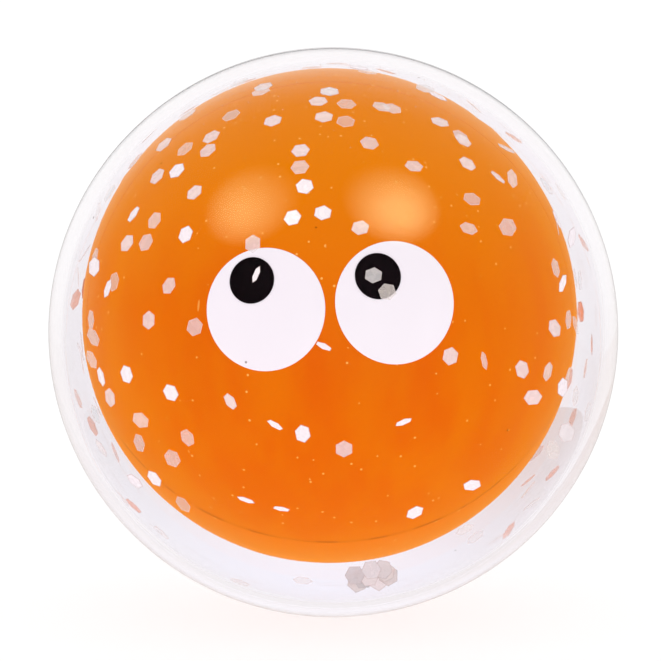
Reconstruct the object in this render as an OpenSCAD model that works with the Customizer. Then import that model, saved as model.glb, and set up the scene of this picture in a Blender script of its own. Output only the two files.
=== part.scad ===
// Bouncy ball of thick clear rubber. A sealed liquid cavity inside it holds glitter flakes and a hollow
// orange ball with two eyes, which floats up under the cavity's crown and is ballasted to stay upright.
// Millimetres. +Z is up, the eyes look towards -Y, and the origin is the centre of the clear ball.

/* [Floating ball] */
// Outside diameter of the floating ball
ball_d = 42.5; // [34:0.5:55]
// Wall of the floating ball
ball_wall = 1.6; // [1.2:0.1:3]
// Length of the lip that locates its two halves
lip_len = 1.5; // [0.8:0.1:3]
// Thickness of that lip
lip_t = 0.7; // [0.4:0.05:1]
// Gap round that lip
lip_gap = 0.05; // [0.03:0.01:0.15]

/* [Ballast] */
// Diameter of the steel slug
slug_d = 9; // [5:0.5:12]
// Length of the steel slug
slug_len = 14; // [8:0.5:20]
// Gap round the slug in its sockets
slug_gap = 0.1; // [0.05:0.05:0.3]
// Wall of the sockets that hold the slug
socket_wall = 1.2; // [0.8:0.1:2]

/* [Eyes] */
// Diameter of the white of an eye
eye_d = 12.1; // [8:0.1:14]
// Gap between the two whites, along the ball
eye_gap = 1.2; // [0.5:0.1:4]
// Diameter of a pupil
pupil_d = 4.6; // [2:0.1:7]
// White left outside a pupil at its nearest edge
pupil_margin = 0.6; // [0.1:0.1:2]
// How far the face looks up, in degrees
face_lift = 11.3; // [-20:0.1:30]
// How far the face leans, in degrees
face_roll = 3; // [-10:1:10]
// How far the gaze turns aside from straight up, in degrees
gaze_turn = 27; // [-90:1:90]
// How much more the right pupil turns aside, and how much less the left one, in degrees
gaze_split = 5.5; // [-15:0.5:15]
// Thickness of each printed film
print_t = 0.05; // [0.03:0.01:0.1]
// Glue under each printed film
print_gap = 0.01; // [0.005:0.005:0.03]

/* [Clear shell] */
// Wall of the clear ball
shell_wall = 9.3; // [5:0.1:15]
// Liquid all round the floating ball when it is centred
film = 1.95; // [1.2:0.05:4]
// Sideways place of the floating ball at rest, towards -X
ball_drift = 0.33; // [-0.5:0.01:0.5]
// Bevel of the parting line round the outside
seam_bevel = 0.15; // [0.05:0.05:0.5]

/* [Filler plug] */
// Diameter of the plug's shank
plug_d = 4; // [2:0.5:8]
// Width of the plug's shoulder all round the shank
plug_shoulder = 1.5; // [0.5:0.25:3]
// Depth of the plug's head
plug_head_t = 3; // [1.5:0.5:4.5]
// Gap round the plug in its hole
plug_gap = 0.04; // [0.02:0.01:0.1]

/* [Glitter] */
// Width of a flake across its flats
flake_flats = 1.6; // [0.8:0.1:2]
// Thickness of a flake
flake_t = 0.05; // [0.03:0.01:0.1]
// Flakes spread over the whole cavity before the front and the floor are left free
spread_count = 170; // [60:1:220]
// Flakes spread over the crown of the floating ball
crown_count = 14; // [4:1:18]
// Flakes round each end of the floating ball's sideways axis
side_count = 7; // [3:1:9]
// Flakes in the sunken heap
heap_count = 9; // [4:1:14]
// How far the heap spreads to each side
heap_spread = 1.5; // [0.5:0.1:3]
// Distance from each flake of the heap to the next, front to back
heap_step = 0.4; // [0.3:0.05:0.8]
// Clear space between neighbouring flakes
flake_space = 0.45; // [0.3:0.05:1]
// Gap between a flake and the cavity's wall
wall_gap = 0.05; // [0.03:0.01:0.1]
// Gap between flakes and what moves past them
hug_gap = 0.04; // [0.03:0.01:0.08]
// Spare room over the risen ball
crown_spare = 0.06; // [0.03:0.01:0.2]

/* [Hidden] */
$fn = 128;
eps = 0.5;
golden_turn = 180 * (3 - sqrt(5));

// Radii of the nested spheres
ball_r = ball_d / 2;
ball_in_r = ball_r - ball_wall;
cavity_r = ball_r + film;
shell_r = cavity_r + shell_wall;

// A flake lying flat takes its thickness and the bow of the sphere under its corners
flake_r = flake_flats / 2 / cos(30);
flake_bow = sqrt(ball_r * ball_r + flake_r * flake_r) - ball_r;
flake_layer = flake_t + flake_bow;
flake_pitch = 2 * flake_r + flake_space;

// Layers outwards from the floating ball: two prints, flakes that ride on it, then free liquid
print_top = 2 * (print_t + print_gap);
hug_r = ball_r + print_top + hug_gap;
free_r = hug_r + flake_layer + hug_gap;
flake_top_r = cavity_r - wall_gap;
crown_gap = free_r - ball_r + flake_layer + wall_gap + crown_spare;
ball_rise = sqrt(pow(film - crown_gap, 2) - ball_drift * ball_drift);
ball_centre = [-ball_drift, 0, ball_rise];

// Lip between the two halves of the floating ball
lip_in_r = ball_in_r + lip_gap;
lip_r = lip_in_r + lip_t;
rebate_depth = lip_len + lip_gap;
rebate_in_r = sqrt(ball_in_r * ball_in_r - rebate_depth * rebate_depth) - lip_gap;
lip_root = 0.5;

// The slug lies as low as its ends and a socket wall allow
slug_r = slug_d / 2;
slug_drop = sqrt(pow(ball_in_r - socket_wall, 2) - pow(slug_len / 2, 2)) - slug_r;
socket_bore_r = slug_r + slug_gap;
socket_depth = slug_len / 2 + slug_gap;

// Angles of the face on the floating ball
eye_angle = arc((eye_d + eye_gap) / 2, ball_r);
gaze_angle = arc(eye_d / 2 - pupil_d / 2 - pupil_margin, ball_r);

plug_head_d = plug_d + 2 * plug_shoulder;

// Middle and radius of the clear ball on the photo, in pixels across and down
photo_centre = [333.3, 332.2];
photo_r = 285;
// Flakes that show over the floating ball and round its edge, as points picked by eye on the photo
front_points = [
    [301, 153], [462, 142], [468, 163], [498, 177], [513, 178], [508, 227], [468, 229], [471, 200],
    [413, 168], [360, 229], [165, 146], [186, 150], [178, 172], [209, 152], [158, 177], [196, 194],
    [157, 222], [147, 243], [188, 236], [129, 244], [170, 286], [105, 288], [146, 320], [195, 327],
    [128, 374], [170, 393], [231, 401], [112, 397], [187, 438], [173, 458], [141, 420], [155, 478],
    [305, 188], [293, 219], [323, 215], [254, 245], [324, 346], [303, 433], [344, 449], [275, 425],
    [402, 420], [415, 513], [247, 498], [282, 507], [454, 357], [486, 361], [525, 370], [535, 398],
    [472, 485], [257, 275], [373, 276], [387, 292], [465, 530], [476, 538], [556, 452], [572, 435],
    [583, 398], [530, 482], [600, 345], [585, 325], [560, 225], [97, 450], [120, 500], [88, 360],
    [303, 579], [240, 582]
];
// Flakes that show in front of its crown
crown_points = [[321, 104], [351, 107], [327, 121], [350, 126], [273, 125]];
// Refractive index of the clear rubber
rubber_index = 1.5;

// Part of the cavity that holds only the flakes of the photo, in degrees round the line of sight
front_reach = 66;
sight_lift = 8;
// Latitude below which the cavity's floor is left to the heap, the way that the heap lies and how far
// from the lowest point
heap_lat = -50;
heap_lon = 32;
heap_lean = 17;
// Flakes on the crown and round the sideways axis stay within these angles
crown_reach = 40;
side_reach = 24;
// Steepest a flake lies to the wall, and most that a flake of the heap leans from facing the front
most_tilt = 55;
heap_tilt = 5;
// Most that a spot of the even spread is shifted by chance, and the least share of the equator's
// length that a circle of latitude counts as for it
spread_shift = 1.6;
least_circle = 0.3;
// Share of the radius behind which a flake belongs to the back group
back_share = 0.5;
// Turn from each flake to the next, on the crown and round the sideways axis
crown_turn = 17;
side_turn = 31;

// Unit vector at a longitude, counted from -Y towards +X, and a latitude
function aim(spot) = [
    sin(spot[0]) * cos(spot[1]),
    -cos(spot[0]) * cos(spot[1]),
    sin(spot[1])
];
function spot_of(v) = [atan2(v.x, -v.y), asin(v.z / norm(v))];
function between(a, b) = acos(max(-1, min(1, a * b)));
function clear_of(spot, others, angle) =
    len(others) == 0 || min([for (s = others) between(aim(spot), aim(s))]) > angle;
// Keeps each spot that lies clear of all those before it
function thinned(spots, angle) = [
    for (i = [0:len(spots) - 1])
    if (clear_of(spots[i], [for (k = [0:1:i - 1]) spots[k]], angle)) spots[i]
];
function arc(length, radius) = length / radius * 180 / PI;

// Point where a ray first meets a sphere about the origin
function met(start, way, radius) =
    let (along = start * way)
    start - (along + sqrt(max(0, along * along - start * start + radius * radius))) * way;
// Way of a ray past a surface that faces it, for the ratio of the index before to the index behind
function bent(way, facing, ratio) =
    let (cosine = -way * facing)
    ratio * way
        + (ratio * cosine - sqrt(max(0, 1 - ratio * ratio * (1 - cosine * cosine)))) * facing;
// Longitude and latitude on the cavity's wall of what shows through the rubber at a point of the photo
function traced(point) =
    let (
        shift = (point - photo_centre) * shell_r / photo_r,
        viewer = aim([0, sight_lift]),
        up = aim([0, sight_lift + 90]),
        start = [shift.x, 0, 0] - shift.y * up + 2 * shell_r * viewer,
        skin = met(start, -viewer, shell_r),
        way = bent(-viewer, skin / shell_r, 1 / rubber_index)
    )
    spot_of(met(skin, way, cavity_r));

// Radial room for a flake, between the cavity's wall and the floating ball anywhere on its way up or down
function reach(u) = ball_rise * abs(u.z) - ball_drift * u.x;
function corner_spare(u) = ball_rise * sqrt(1 - u.z * u.z) * flake_r / cavity_r;
function room(u) = flake_top_r - free_r - reach(u) - corner_spare(u);
function tilt_limit(u) =
    min(most_tilt, asin(max(0, min(1, (room(u) - flake_layer) / (2 * flake_r)))));
function half_height(tilt) = flake_r * sin(tilt) + flake_t / 2;

// Flake as [longitude, latitude, radius of its middle, turn, tilt, way of the tilt], from four shares
// of chance
function flake(spot, chance) =
    let (
        u = aim(spot),
        tilt = tilt_limit(u) * chance[0],
        top = flake_top_r - flake_bow - half_height(tilt),
        low = min(top, free_r + reach(u) + corner_spare(u) + half_height(tilt))
    )
    [spot[0], spot[1], top - (top - low) * chance[1], 60 * chance[2], tilt, 360 * chance[3]];

function chances(count, seed) =
    let (all = rands(0, 1, 4 * count, seed))
    [for (i = [0:count - 1]) [for (k = [0:3]) all[4 * i + k]]];

function flakes_at(spots, seed) =
    let (chance = chances(len(spots), seed))
    [for (i = [0:len(spots) - 1]) flake(spots[i], chance[i])];

// Even spread over the sphere by the golden turn, each spot then shifted a little by chance
function spread_spots(count, seed) =
    let (
        shift = rands(-1, 1, 2 * count, seed),
        angle = arc(spread_shift, cavity_r)
    )
    [for (i = [0:count - 1])
        let (
            lat = asin(1 - (2 * i + 1) / count),
            lon_angle = angle / max(cos(lat), least_circle)
        )
        [i * golden_turn + lon_angle * shift[2 * i], lat + angle * shift[2 * i + 1]]];

// Spiral of spots round the top of a sphere, one pitch apart, out to count spots
function cap_spots(count, pitch, radius) =
    [for (i = [0:count - 1])
        [i * golden_turn, 90 - arc(pitch * sqrt((i + 0.5) / PI), radius)]];

sight = aim([0, sight_lift]);
touch_angle = arc(2 * (flake_r + hug_gap), free_r);
pitch_angle = arc(flake_pitch, cavity_r);
shown_spots = thinned([for (p = front_points) traced(p)], touch_angle);
loose_spots = [
    for (s = spread_spots(spread_count, 7))
    let (u = aim(s))
    if (between(u, sight) > front_reach && u.z > sin(heap_lat) && clear_of(s, shown_spots, pitch_angle)) s
];
back_spots = [for (s = loose_spots) if (aim(s).y > back_share) s];
left_spots = [for (s = loose_spots) if (aim(s).y <= back_share && aim(s).x < 0) s];
right_spots = [for (s = loose_spots) if (aim(s).y <= back_share && aim(s).x >= 0) s];

// Flake lying on the floating ball, at a spot about the ball's own centre
function hugging(spot, turn) = [spot[0], spot[1], hug_r + flake_t / 2, turn, 0, 0];

// The crown's spots, those of the photo first
function cap_pitch(angle, count) = angle / 180 * PI * ball_r / sqrt(count / PI);
crown_all = thinned(
    concat(
        [for (p = crown_points) traced(p)],
        cap_spots(crown_count, cap_pitch(crown_reach, crown_count), ball_r)
    ),
    pitch_angle
);
crown_flakes = [for (i = [0:len(crown_all) - 1]) hugging(crown_all[i], crown_turn * i)];

// The spots of a cap, laid over on the sideways axis
side_spots = cap_spots(side_count, cap_pitch(side_reach, side_count), ball_r);
side_flakes = [
    for (side = [-1, 1])
    for (i = [0:side_count - 1])
    let (u = aim(side_spots[i]))
    hugging(spot_of([side * u.z, u.y, side * u.x]), side_turn * i)
];

// Half of space on the eyes' side, -1, or behind it, 1
module half_space(side) {
    span = 4 * shell_r;
    translate([-span / 2, side < 0 ? -span : 0, -span / 2]) cube(span);
}

// Turns what is drawn along +Z to point along the eyes' side, -1, or behind it, 1
module along(side) {
    rotate([-90 * side, 0, 0]) children();
}

module hollow_sphere(outside, inside) {
    difference() {
        sphere(r = outside);
        sphere(r = inside);
    }
}

// Bevel at the outer edge of one half of the clear ball
module seam_cut(side) {
    along(side) rotate_extrude() polygon([
        [shell_r - seam_bevel, 0],
        [shell_r + seam_bevel, 0],
        [shell_r + seam_bevel, 2 * seam_bevel]
    ]);
}

// The filler plug's outline, grown all round by a gap
module plug_shape(gap) {
    along(1) cylinder(d = plug_d + 2 * gap, h = shell_r + eps);
    translate([0, shell_r - plug_head_t - gap, 0])
        along(1) cylinder(d = plug_head_d + 2 * gap, h = plug_head_t + gap + eps);
}

module shell_half(side) {
    difference() {
        intersection() {
            hollow_sphere(shell_r, cavity_r);
            half_space(side);
        }
        seam_cut(side);
    }
}

module front_shell_half() {
    color("aliceblue", 0.3) shell_half(-1);
}

module rear_shell_half() {
    color("aliceblue", 0.3) difference() {
        shell_half(1);
        plug_shape(plug_gap);
    }
}

module filler_plug() {
    color("ghostwhite", 0.5) intersection() {
        plug_shape(0);
        hollow_sphere(shell_r, cavity_r);
    }
}

module liquid_fill() {
    color("lavender", 0.2) difference() {
        sphere(r = cavity_r - hug_gap);
        translate(ball_centre) sphere(r = free_r);
    }
}

// Hexagonal flakes, each at its place round the middle of a sphere
module flakes(list) {
    for (f = list)
        rotate([0, 0, f[0]]) rotate([-f[1], 0, 0]) translate([0, -f[2], 0])
            rotate([0, f[5], 0]) rotate([f[4], 0, 0]) rotate([90, f[3], 0])
                cylinder(r = flake_r, h = flake_t, center = true, $fn = 6);
}

module glitter_front() {
    color("mistyrose", 0.8) flakes(flakes_at(shown_spots, 11));
}

module glitter_left() {
    color("mistyrose", 0.8) flakes(flakes_at(left_spots, 12));
}

module glitter_right() {
    color("mistyrose", 0.8) flakes(flakes_at(right_spots, 13));
}

module glitter_back() {
    color("mistyrose", 0.8) flakes(flakes_at(back_spots, 14));
}

// Place of a flake of the heap, which stands on the cavity's floor: fanned out to both sides, one step
// behind the flake before it
function heap_place(i) =
    let (
        stand_r = flake_top_r - flake_r - flake_t,
        foot = stand_r * sin(heap_lean) * aim([heap_lon, 0]),
        x = foot.x + heap_spread * sin(golden_turn * i),
        y = foot.y + heap_step * (i - (heap_count - 1) / 2)
    )
    [x, y, -sqrt(stand_r * stand_r - x * x - y * y)];

// Sunken flakes that stand on edge against each other
module glitter_settled() {
    chance = chances(heap_count, 15);
    color("linen", 0.8)
        for (i = [0:heap_count - 1])
            translate(heap_place(i))
                rotate([90 + heap_tilt * (2 * chance[i][0] - 1), 0, heap_tilt * (2 * chance[i][1] - 1)])
                    rotate([0, 0, 60 * chance[i][2]])
                        cylinder(r = flake_r, h = flake_t, center = true, $fn = 6);
}

module glitter_crown() {
    color("mistyrose", 0.8) translate(ball_centre) flakes(crown_flakes);
}

module glitter_sides() {
    color("mistyrose", 0.8) translate(ball_centre) flakes(side_flakes);
}

// Socket for one end of the slug: a tube out from the parting plane, with a floor under the slug's end
module socket(side) {
    intersection() {
        translate([0, 0, -slug_drop]) along(side) difference() {
            cylinder(r = socket_bore_r + socket_wall, h = ball_r);
            translate([0, 0, -eps]) cylinder(r = socket_bore_r, h = socket_depth + eps);
            translate([0, 0, socket_depth + socket_wall]) cylinder(r = socket_bore_r, h = ball_r);
        }
        sphere(r = ball_r - ball_wall / 2);
    }
}

module ball_half(side) {
    intersection() {
        hollow_sphere(ball_r, ball_in_r);
        half_space(side);
    }
    socket(side);
}

module front_ball_half() {
    color("darkorange") translate(ball_centre) {
        ball_half(-1);
        translate([0, -lip_root, 0]) along(1) difference() {
            cylinder(r = lip_r, h = lip_root + lip_len);
            translate([0, 0, -eps]) cylinder(r = lip_in_r, h = lip_root + lip_len + 2 * eps);
        }
    }
}

module rear_ball_half() {
    color("darkorange") translate(ball_centre) difference() {
        ball_half(1);
        along(1) difference() {
            translate([0, 0, -eps]) cylinder(r = lip_r + lip_gap, h = rebate_depth + eps);
            translate([0, 0, -2 * eps]) cylinder(r = rebate_in_r, h = rebate_depth + 4 * eps);
        }
    }
}

module ballast_slug() {
    color("silver") translate(ball_centre + [0, 0, -slug_drop])
        along(1) cylinder(r = slug_r, h = slug_len, center = true);
}

// Places what looks along -Y at an eye, -1 for the one at -X and 1 for the one at +X
module at_eye(side) {
    translate(ball_centre) rotate([-face_lift, 0, 0]) rotate([0, -face_roll, 0])
        rotate([0, 0, side * eye_angle]) children();
}

// Round film on the ball, in the layer that lies that many prints up
module print_disc(diameter, layer) {
    low = ball_r + print_gap + layer * (print_t + print_gap);
    intersection() {
        hollow_sphere(low + print_t, low);
        along(-1) cylinder(d = diameter, h = 2 * ball_r);
    }
}

module eye_white(side) {
    color("white") at_eye(side) print_disc(eye_d, 0);
}

module pupil(side) {
    color("black") at_eye(side) rotate([0, -gaze_turn - side * gaze_split, 0])
        rotate([-gaze_angle, 0, 0]) print_disc(pupil_d, 1);
}

module left_eye() {
    eye_white(-1);
}

module right_eye() {
    eye_white(1);
}

module left_pupil() {
    pupil(-1);
}

module right_pupil() {
    pupil(1);
}

front_shell_half();
rear_shell_half();
filler_plug();
liquid_fill();
glitter_front();
glitter_left();
glitter_right();
glitter_back();
glitter_settled();
glitter_crown();
glitter_sides();
front_ball_half();
rear_ball_half();
ballast_slug();
left_eye();
right_eye();
left_pupil();
right_pupil();
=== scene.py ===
"""Looks of a bouncy ball of clear rubber, in which an orange ball with two eyes floats among glitter.

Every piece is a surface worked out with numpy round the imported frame, in metres. +Z is up, the eyes look
towards -Y, and the origin is the centre of the clear ball.
"""

from __future__ import annotations

import logging
import math
from dataclasses import dataclass, field
from enum import Enum, IntEnum
from typing import Any, Sequence

import bpy
import numpy as np
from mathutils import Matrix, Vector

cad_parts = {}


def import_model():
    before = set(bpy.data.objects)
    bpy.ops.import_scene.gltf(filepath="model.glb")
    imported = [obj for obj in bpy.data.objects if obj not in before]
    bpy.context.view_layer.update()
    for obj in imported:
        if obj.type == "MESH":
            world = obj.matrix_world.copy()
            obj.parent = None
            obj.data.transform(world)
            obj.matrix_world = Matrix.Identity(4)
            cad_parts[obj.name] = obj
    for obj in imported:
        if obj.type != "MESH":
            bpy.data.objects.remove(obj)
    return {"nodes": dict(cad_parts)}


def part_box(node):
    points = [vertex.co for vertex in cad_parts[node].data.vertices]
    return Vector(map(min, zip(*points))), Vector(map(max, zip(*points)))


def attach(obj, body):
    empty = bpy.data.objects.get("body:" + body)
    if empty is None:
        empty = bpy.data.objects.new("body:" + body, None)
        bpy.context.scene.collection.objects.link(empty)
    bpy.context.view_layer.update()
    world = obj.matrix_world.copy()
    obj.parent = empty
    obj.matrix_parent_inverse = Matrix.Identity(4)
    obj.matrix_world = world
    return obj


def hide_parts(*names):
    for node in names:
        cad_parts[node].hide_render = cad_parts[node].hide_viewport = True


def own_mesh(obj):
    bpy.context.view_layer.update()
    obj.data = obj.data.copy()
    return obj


MM = 0.001
FULL_TURN = 2 * math.pi
GOLDEN_TURN = math.pi * (3 - math.sqrt(5))
RUBBER_INDEX = 1.5
LIQUID_INDEX = 1.33

# Flakes in front of the floating ball that shine white, as points of the photo
# Their white is painted in: it stands for the glint of the light they face.
WHITE_POINTS = (
    (178, 172), (293, 219), (305, 188), (323, 215), (188, 236), (105, 288), (128, 374), (170, 393),
    (155, 478), (303, 433), (415, 513), (472, 485), (600, 345),
)
# Narrow offcuts there, with the lean of their length in degrees
SLIVERS = (
    (257, 275, 78), (402, 420, 20), (324, 346, -22), (275, 425, -30), (247, 498, -24), (282, 507, -10),
)

Colour = tuple[float, float, float]
WHITE: Colour = (1.0, 1.0, 1.0)

log = logging.getLogger("bouncy_ball")


class Body(str, Enum):
    """Bodies of the frame that a piece can ride on."""

    SHELL = "shell"
    LIQUID = "liquid"
    CROWN_FLAKES = "crown_flakes"
    SIDE_FLAKES = "side_flakes"
    FLOATING_BALL = "floating_ball"


class Slot(str, Enum):
    """Material slots of the record."""

    CLEAR_RUBBER = "clear_rubber"
    PLUG_RUBBER = "plug_rubber"
    CLEAR_LIQUID = "clear_liquid"
    PEARL_FLAKE = "pearl_flake"
    ORANGE_PLASTIC = "orange_plastic"
    EYE_WHITE = "eye_white"
    EYE_BLACK = "eye_black"


class RubberFace(IntEnum):
    """Material slots on a clear rubber piece, by what the face borders on."""

    AIR = 0
    LIQUID = 1
    BOND = 2


# Surfaces


@dataclass(frozen=True)
class Placement:
    """A place in space: an origin and three unit directions, the last of which is the axis."""

    origin: np.ndarray
    basis: np.ndarray

    @classmethod
    def about(cls, origin: Sequence[float], axis: Sequence[float]) -> Placement:
        """Builds a right-handed place round an axis.

        Args:
            origin: Where the axis starts.
            axis: Direction of the axis, of any length.

        Returns:
            The place, with its first direction as level as the axis allows.
        """
        up = np.asarray(axis, float) / np.linalg.norm(axis)
        helper = np.array([0.0, 0.0, 1.0]) if abs(up[2]) < 0.9 else np.array([1.0, 0.0, 0.0])
        across = np.cross(helper, up)
        across /= np.linalg.norm(across)
        return cls(np.asarray(origin, float), np.stack([across, np.cross(up, across), up]))

    def put(self, local: np.ndarray) -> np.ndarray:
        """Moves local points, of any array shape, to their place."""
        return self.origin + local @ self.basis


@dataclass
class Skin:
    """A mesh in the making.

    Attributes:
        points: One row of x, y, z for each point.
        faces: Arrays of corner numbers, each with one face a row.
        slots: The material slot of each face, one array beside each array of faces.
    """

    points: np.ndarray
    faces: list[np.ndarray]
    slots: list[np.ndarray]

    def joined(self, other: Skin) -> Skin:
        """Puts another skin's points and faces after this one's.

        Args:
            other: The skin that follows.

        Returns:
            A new skin that holds both as separate islands.
        """
        shifted = [face + len(self.points) for face in other.faces]
        return Skin(np.vstack([self.points, other.points]), self.faces + shifted, self.slots + other.slots)

    def volume(self) -> float:
        """Sums the signed volumes of the tetrahedra between the origin and each face's fan of triangles."""
        total = 0.0
        for face in self.faces:
            corner = self.points[face]
            for k in range(1, face.shape[1] - 1):
                total += float(np.einsum("ij,ij->", corner[:, 0], np.cross(corner[:, k], corner[:, k + 1])))
        return total / 6

    def outward(self) -> Skin:
        """Turns every face round if the skin encloses a negative volume."""
        if self.volume() >= 0:
            return self
        return Skin(self.points, [face[:, ::-1] for face in self.faces], self.slots)


def ring_turns(columns: int) -> np.ndarray:
    """Gives the turns of the points of a ring, once round."""
    return np.linspace(0, FULL_TURN, columns, endpoint=False)


def fan(pole: int, start: int, columns: int) -> np.ndarray:
    """Numbers the corners of the triangles between a pole and the ring whose points begin at start."""
    here = np.arange(columns)
    return np.stack([np.full(columns, pole), start + here, start + (here + 1) % columns], axis=-1)


def grid_quads(rows: int, columns: int) -> np.ndarray:
    """Numbers the corners of the quads of a grid whose last column closes onto its first.

    Args:
        rows: Rings of points.
        columns: Points in each ring.

    Returns:
        One row of four corner numbers for each quad, ring by ring.
    """
    row = np.arange(rows - 1)[:, None] * columns
    column = np.arange(columns)[None, :]
    after = (column + 1) % columns
    corners = [row + column, row + after, row + columns + after, row + columns + column]
    return np.stack(corners, axis=-1).reshape(-1, 4)


def skin_of_rings(
    rings: np.ndarray, slots: Sequence[int], poles: tuple[np.ndarray, np.ndarray] | None = None
) -> Skin:
    """Spans quads between neighbouring rings of points and closes the ends.

    Args:
        rings: Array of rings by points by coordinates.
        slots: Material slot of each span, from the first ring or pole to the last.
        poles: Points that close the first and the last ring as fans. Without them the last ring closes
            onto the first, as on a hoop.

    Returns:
        The closed skin with its faces outwards.
    """
    count, columns = rings.shape[:2]
    points = rings.reshape(-1, 3)
    slots = np.asarray(slots, int)
    if poles is None:
        quads = grid_quads(count + 1, columns) % len(points)
        return Skin(points, [quads], [np.repeat(slots, columns)]).outward()
    first = fan(len(points), 0, columns)[:, [0, 2, 1]]
    last = fan(len(points) + 1, len(points) - columns, columns)
    return Skin(
        np.vstack([points, poles[0], poles[1]]),
        [grid_quads(count, columns), np.vstack([first, last])],
        [np.repeat(slots[1:-1], columns), np.repeat(slots[[0, -1]], columns)],
    ).outward()


def disc(place: Placement, reach: np.ndarray, columns: int) -> Skin:
    """Draws a flat disc that faces along its place's axis, as rings round a fan.

    The point at a radius r and a turn t is (r cos t, r sin t, 0), and the middle is the last point.

    Args:
        place: Where the disc lies.
        reach: Radii of the rings, from the innermost to the edge.
        columns: Points in a ring.

    Returns:
        The open skin.
    """
    turn, radius = ring_turns(columns), reach[:, None]
    flat = np.stack([radius * np.cos(turn), radius * np.sin(turn), 0 * radius * turn], axis=-1)
    points = np.vstack([place.put(flat).reshape(-1, 3), place.origin])
    faces = [grid_quads(len(reach), columns)[:, ::-1], fan(len(points) - 1, 0, columns)]
    return Skin(points, faces, [np.zeros(len(face)) for face in faces])


def revolve(profile: np.ndarray, slots: Sequence[int], place: Placement, columns: int) -> Skin:
    """Carries a profile round an axis.

    A profile point at radius r and height h becomes the ring (r cos t, r sin t, h), with t once round.

    Args:
        profile: Rows of radius and height. It ends on the axis at both ends, or where it starts.
        slots: Material slot of each span of the profile.
        place: The axis.
        columns: Points in a ring.

    Returns:
        The closed skin.
    """
    hoop = bool(np.allclose(profile[0], profile[-1]))
    ring = profile[:-1] if hoop else profile[1:-1]
    turn = ring_turns(columns)
    radius, height = ring[:, :1], np.repeat(ring[:, 1:], columns, axis=1)
    rings = place.put(np.stack([radius * np.cos(turn), radius * np.sin(turn), height], axis=-1))
    if hoop:
        return skin_of_rings(rings, slots)
    ends = place.put(np.array([[0, 0, profile[0, 1]], [0, 0, profile[-1, 1]]]))
    return skin_of_rings(rings, slots, (ends[0], ends[1]))


def repeated(pattern: Skin, points: np.ndarray) -> Skin:
    """Repeats a skin's faces over copies of its points.

    Args:
        pattern: The skin that is repeated.
        points: Array of copies by points by coordinates.

    Returns:
        One skin of separate islands.
    """
    count, size = points.shape[:2]
    step = np.arange(count)[:, None, None] * size
    faces = [(face[None] + step).reshape(-1, face.shape[1]) for face in pattern.faces]
    return Skin(points.reshape(-1, 3), faces, [np.tile(slot, count) for slot in pattern.slots])


def arc(radius: float, start: float, end: float, steps: int) -> np.ndarray:
    """Draws part of a circle round a profile's origin: radius times (sin a, cos a), a from start to end."""
    angle = np.linspace(start, end, steps + 1)
    return radius * np.stack([np.sin(angle), np.cos(angle)], axis=-1)


class Profile:
    """A profile that is drawn span by span, each with its material slot."""

    def __init__(self, start: Sequence[float]) -> None:
        """Starts the profile at a radius and a height."""
        self.rows: list[np.ndarray] = [np.asarray([start], float)]
        self.slots: list[int] = []

    def line(self, radius: float, height: float, slot: int = 0) -> Profile:
        """Draws a straight span to a radius and a height."""
        return self.curve(np.array([[radius, height]]), slot)

    def curve(self, points: np.ndarray, slot: int = 0) -> Profile:
        """Draws spans through the points that follow."""
        self.rows.append(np.asarray(points, float))
        self.slots += [slot] * len(points)
        return self

    def turned(self, place: Placement, columns: int) -> Skin:
        """Carries the whole profile round an axis."""
        return revolve(np.vstack(self.rows), self.slots, place, columns)


def build_object(
    name: str,
    skin: Skin,
    materials: Sequence[bpy.types.Material],
    attributes: dict[str, np.ndarray] | None = None,
    sharp_angle: float = math.radians(28),
) -> bpy.types.Object:
    """Makes a Blender object of a skin, at the origin, with its place in its mesh.

    Args:
        name: Name of the object and of its mesh.
        skin: Its points and faces.
        materials: Its materials, in the order of the slot numbers.
        attributes: Numbers for each point, which the materials read by name.
        sharp_angle: Edges steeper than this stay crisp.

    Returns:
        The object, linked into the scene.
    """
    mesh = bpy.data.meshes.new(name)
    sizes = np.concatenate([np.full(len(face), face.shape[1]) for face in skin.faces])
    mesh.vertices.add(len(skin.points))
    mesh.vertices.foreach_set("co", skin.points.astype(np.float32).ravel())
    mesh.loops.add(int(sizes.sum()))
    mesh.loops.foreach_set("vertex_index", np.concatenate([f.ravel() for f in skin.faces]).astype(np.int32))
    mesh.polygons.add(len(sizes))
    mesh.polygons.foreach_set("loop_start", (np.cumsum(sizes) - sizes).astype(np.int32))
    mesh.polygons.foreach_set("material_index", np.concatenate(skin.slots).astype(np.int32))
    mesh.update(calc_edges=True)
    mesh.shade_smooth()
    mesh.set_sharp_from_angle(angle=sharp_angle)
    for key, values in (attributes or {}).items():
        mesh.attributes.new(key, "FLOAT", "POINT").data.foreach_set("value", values.astype(np.float32))
    for material in materials:
        mesh.materials.append(material)
    made = bpy.data.objects.new(name, mesh)
    bpy.context.scene.collection.objects.link(made)
    log.info("%s: %d points, %d faces", name, len(skin.points), len(sizes))
    return made


def settle(piece: bpy.types.Object, body: Body, slot: Slot, *nodes: str) -> None:
    """Ties a finished piece to its body and hides the frame's nodes that it stands for."""
    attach(piece, body.value)
    if nodes:
        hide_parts(*nodes)


def mesh_points(node: bpy.types.Object) -> np.ndarray:
    """Reads the points of a frame node, one row of x, y, z each."""
    flat = np.empty(3 * len(node.data.vertices))
    node.data.vertices.foreach_get("co", flat)
    return flat.reshape(-1, 3)


# Shader nodes


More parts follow.
